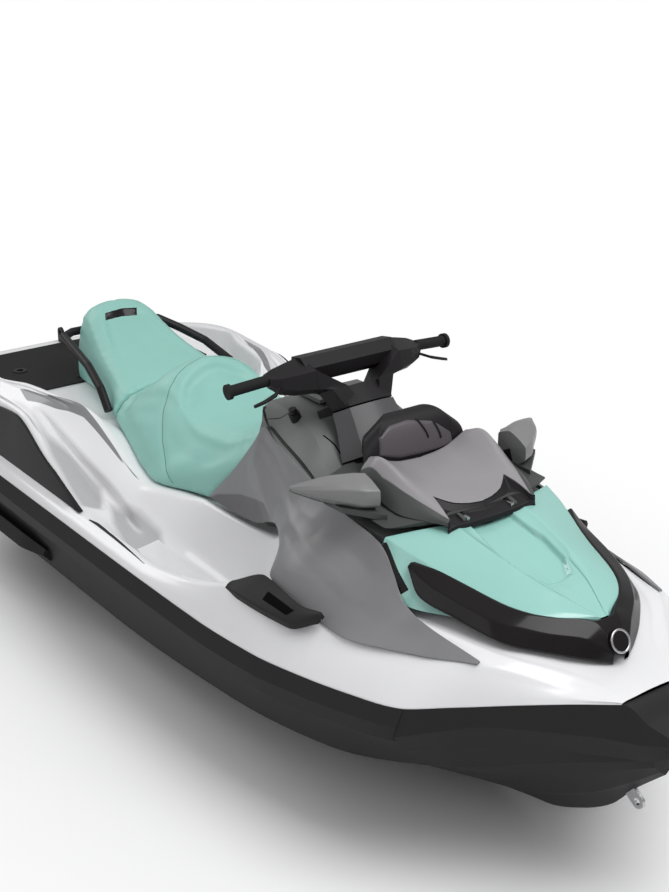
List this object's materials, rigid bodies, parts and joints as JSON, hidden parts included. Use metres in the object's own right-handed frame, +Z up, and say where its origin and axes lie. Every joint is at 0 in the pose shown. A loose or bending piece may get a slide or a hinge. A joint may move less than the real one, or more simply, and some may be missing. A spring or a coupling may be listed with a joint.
{
  "type": "personal watercraft",
  "caption": "Three-seat sit-down personal watercraft with steered jet nozzle, turning handlebar, opening storage lid and glovebox.",
  "frame": {"origin": "on the centreline amidships, at the waterline of the craft afloat and unladen", "axes": "+X to the bow, +Y to port, +Z up"},
  "size_m": [3.312, 1.256, 1.084],
  "materials": {
    "hull_black": "satin",
    "deck_white": "gloss",
    "hood_teal": "gloss",
    "seat_teal": "smooth vinyl",
    "panel_grey": "satin",
    "console_grey": "satin",
    "cowl_grey": "satin",
    "gloss_black": "gloss",
    "trim_black": "matte",
    "grip_rubber": "matte",
    "bright_steel": "brushed",
    "cast_alloy": "cast",
    "mirror_glass": "polished"
  },
  "bodies": {
    "craft": {"hull": "hull_black", "deck": "deck_white", "console": "console_grey", "rails": "hull_black", "bow_bumper": "hull_black", "hood": "hood_teal", "nose_grille": "gloss_black", "nose_badge": "bright_steel", "side_panel_starboard": "panel_grey", "side_panel_port": "panel_grey", "side_vents": "trim_black", "seat_front": "seat_teal", "seat_rear": "seat_teal", "storage_bin": "trim_black", "lid_hinge": "bright_steel", "steering_neck": "console_grey", "lanyard_post": "trim_black", "grab_handle": "trim_black", "rear_mat": "grip_rubber", "deck_fittings": "trim_black", "quarter_inserts": "trim_black", "floor_mats": "grip_rubber", "sponsons": "hull_black", "bow_eye": "bright_steel", "stern_eyes": "bright_steel", "tow_eye": "bright_steel", "engine": "cast_alloy", "pump_housing": "cast_alloy", "ride_plate": "hull_black", "intake_grate": "trim_black"},
    "storage_lid": {"front_cowl": "cowl_grey", "cowl_trim": "trim_black", "gauge_pod": "trim_black", "gauge_display": "gloss_black", "mirror_arms": "trim_black", "mirror_housing_starboard": "cowl_grey", "mirror_housing_port": "cowl_grey", "mirror_glasses": "mirror_glass"},
    "glovebox_lid": {"glovebox_lid": "console_grey"},
    "steering": {"steering_column": "bright_steel", "bar_cover": "trim_black", "bar_pad": "trim_black", "switch_pods": "trim_black", "handlebar": "bright_steel", "grips": "grip_rubber", "throttle_lever": "trim_black", "brake_lever": "trim_black"},
    "impeller": {"impeller": "bright_steel"},
    "nozzle": {"nozzle": "cast_alloy"},
    "reverse_gate": {"reverse_gate": "cast_alloy"}
  },
  "joints": [
    {"name": "steering_turn", "type": "hinge", "parent": "craft", "child": "steering", "pos_m": [0.265, 0, 0.812], "axis": [-0.5, 0, 0.866], "range_deg": [-25, 25]},
    {"name": "storage_lid_hinge", "type": "hinge", "parent": "craft", "child": "storage_lid", "pos_m": [0.908, 0, 0.574], "axis": [0, 1, 0], "range_deg": [0, 45]},
    {"name": "glovebox_lid_hinge", "type": "hinge", "parent": "craft", "child": "glovebox_lid", "pos_m": [0.244, 0, 0.698], "axis": [0, 1, 0], "range_deg": [0, 40]},
    {"name": "impeller_spin", "type": "hinge", "parent": "craft", "child": "impeller", "pos_m": [-1.26, 0, -0.07], "axis": [1, 0, 0], "continuous": true},
    {"name": "nozzle_turn", "type": "hinge", "parent": "craft", "child": "nozzle", "pos_m": [-1.46, 0, -0.07], "axis": [0, 0, 1], "range_deg": [-22, 22]},
    {"name": "reverse_gate_swing", "type": "hinge", "parent": "craft", "child": "reverse_gate", "pos_m": [-1.404, 0, -0.07], "axis": [0, -1, 0], "range_deg": [0, 56]}
  ],
  "couplings": [
    {"joint": "nozzle_turn", "follows": "steering_turn", "ratio": -0.88}
  ]
}
